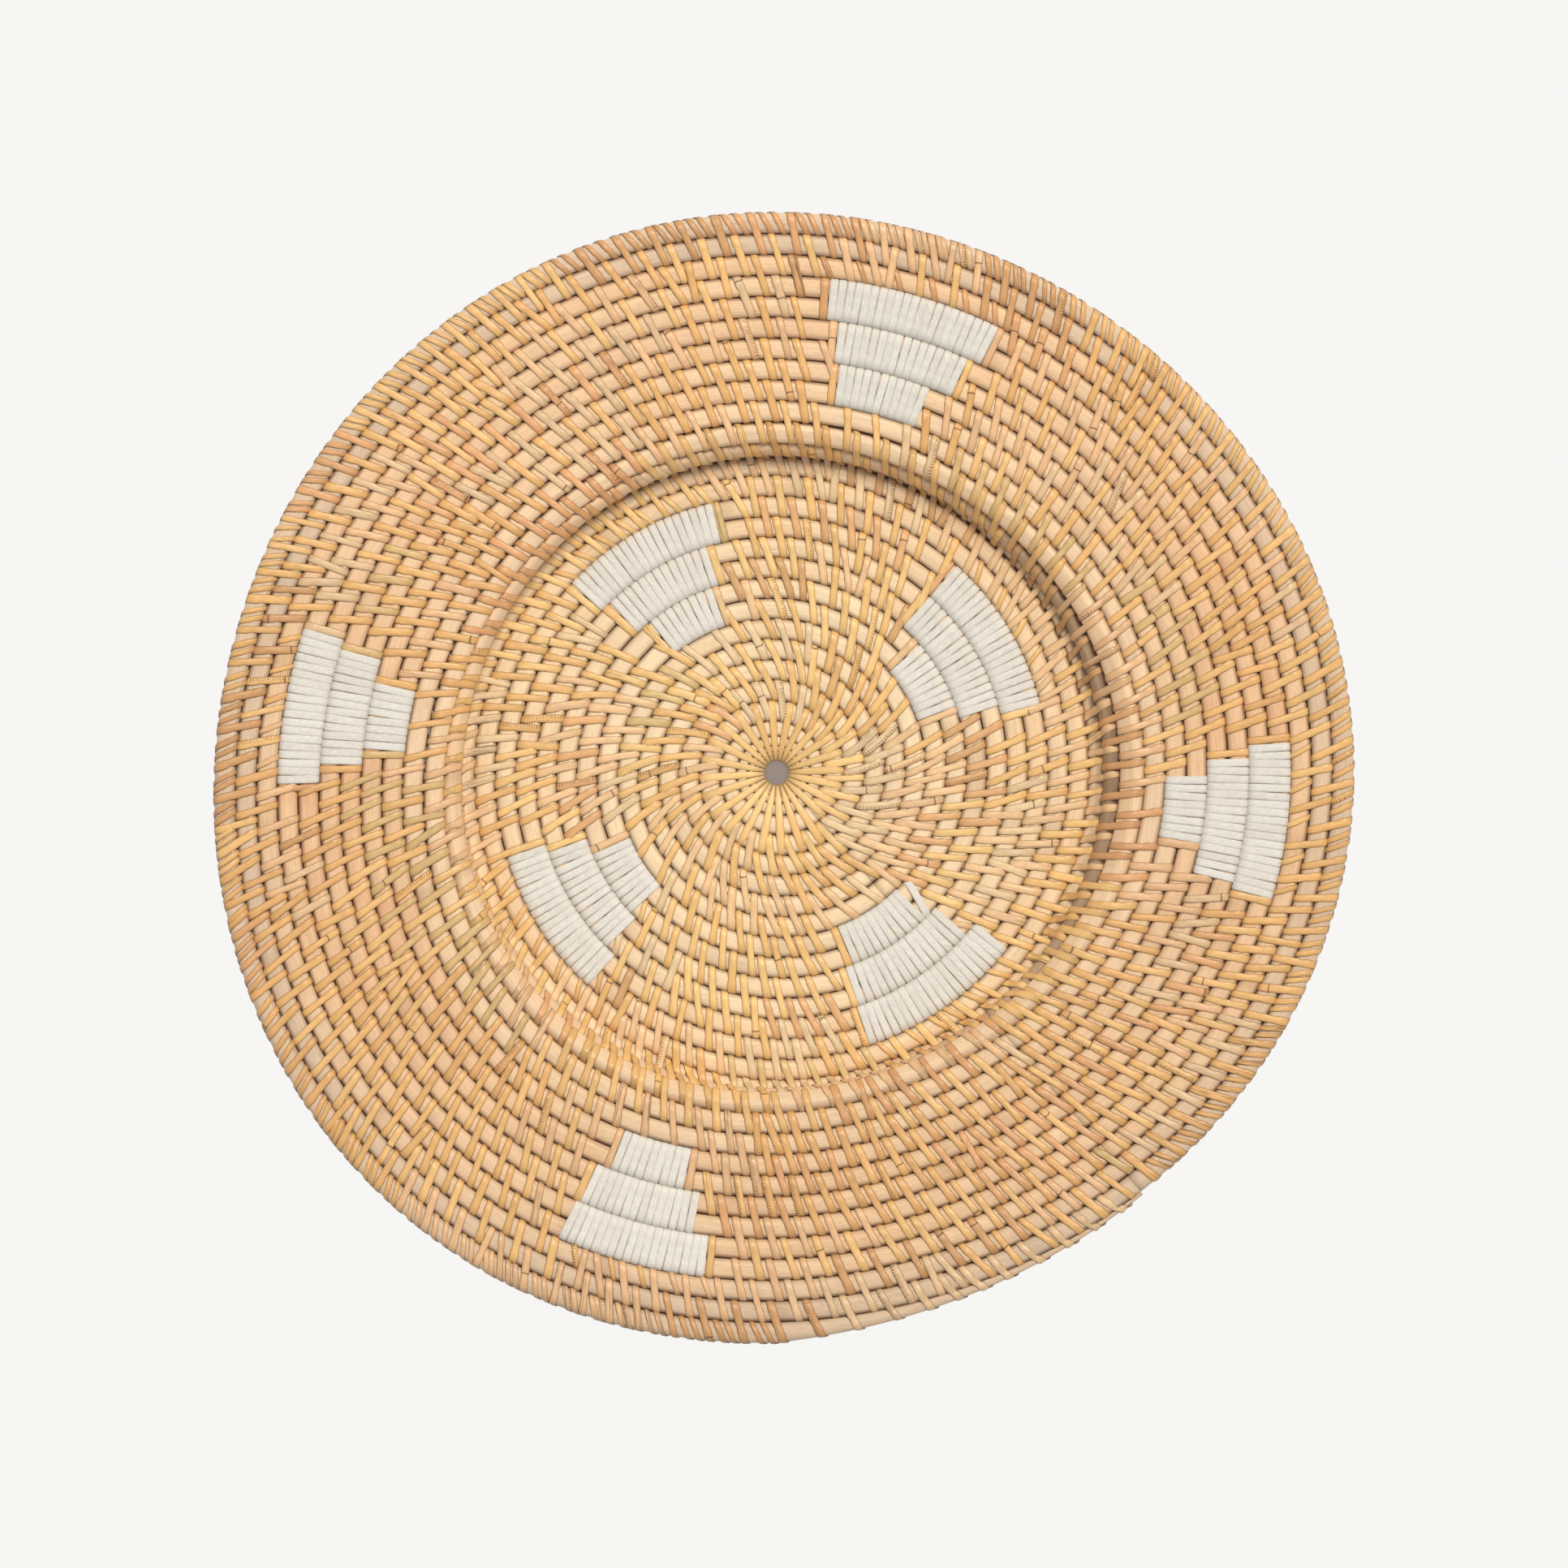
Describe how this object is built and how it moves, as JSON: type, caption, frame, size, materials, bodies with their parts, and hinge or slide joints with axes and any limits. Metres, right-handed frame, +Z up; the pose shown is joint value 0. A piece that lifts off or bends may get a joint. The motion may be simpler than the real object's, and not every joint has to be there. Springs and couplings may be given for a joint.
{
  "type": "coiled rattan tray",
  "caption": "Round coiled rattan tray with a broad flat brim round a shallow flat well, lashed with cane strips and trimmed with bands of white cord.",
  "frame": {"origin": "under the middle of the tray's outline, on the surface that it lies on", "axes": "+Z up out of the open face; +Y towards the first of the brim's four motifs, just anticlockwise of it; +X to the right seen from above"},
  "size_m": [0.4066, 0.403, 0.0251],
  "materials": {
    "core": "peeled rattan core, dry and matt, with fine lengthwise grain",
    "cane": "split cane skin with a natural satin sheen",
    "cord": "twisted off-white cord, matt"
  },
  "bodies": {
    "root": {"start_turn_01": "core", "start_turn_02": "core", "start_turn_03": "core", "start_turn_04": "core", "start_turn_05": "core", "floor_turn_01": "core", "floor_turn_02": "core", "floor_turn_03": "core", "floor_turn_04": "core", "floor_turn_05": "core", "floor_turn_06": "core", "floor_turn_07": "core", "floor_turn_08": "core", "floor_turn_09": "core", "floor_turn_10": "core", "floor_turn_11": "core", "floor_turn_12": "core", "floor_turn_13": "core", "wall_turn_01": "core", "wall_turn_02": "core", "rim_turn_01": "core", "rim_turn_02": "core", "rim_turn_03": "core", "rim_turn_04": "core", "rim_turn_05": "core", "rim_turn_06": "core", "rim_turn_07": "core", "rim_turn_08": "core", "rim_turn_09": "core", "rim_turn_10": "core", "rim_turn_11": "core", "cord_rim_top_outer": "cord", "cord_rim_top_middle": "cord", "cord_rim_top_inner": "cord", "cord_rim_right_outer": "cord", "cord_rim_right_middle": "cord", "cord_rim_right_inner": "cord", "cord_rim_bottom_outer": "cord", "cord_rim_bottom_middle": "cord", "cord_rim_bottom_inner": "cord", "cord_rim_left_outer": "cord", "cord_rim_left_middle": "cord", "cord_rim_left_inner": "cord", "cord_well_top_outer": "cord", "cord_well_top_middle": "cord", "cord_well_top_inner": "cord", "cord_well_right_outer": "cord", "cord_well_right_middle": "cord", "cord_well_right_inner": "cord", "cord_well_bottom_outer": "cord", "cord_well_bottom_middle": "cord", "cord_well_bottom_inner": "cord", "cord_well_left_outer": "cord", "cord_well_left_middle": "cord", "cord_well_left_inner": "cord", "centre_binding": "cane"}
  },
  "joints": []
}
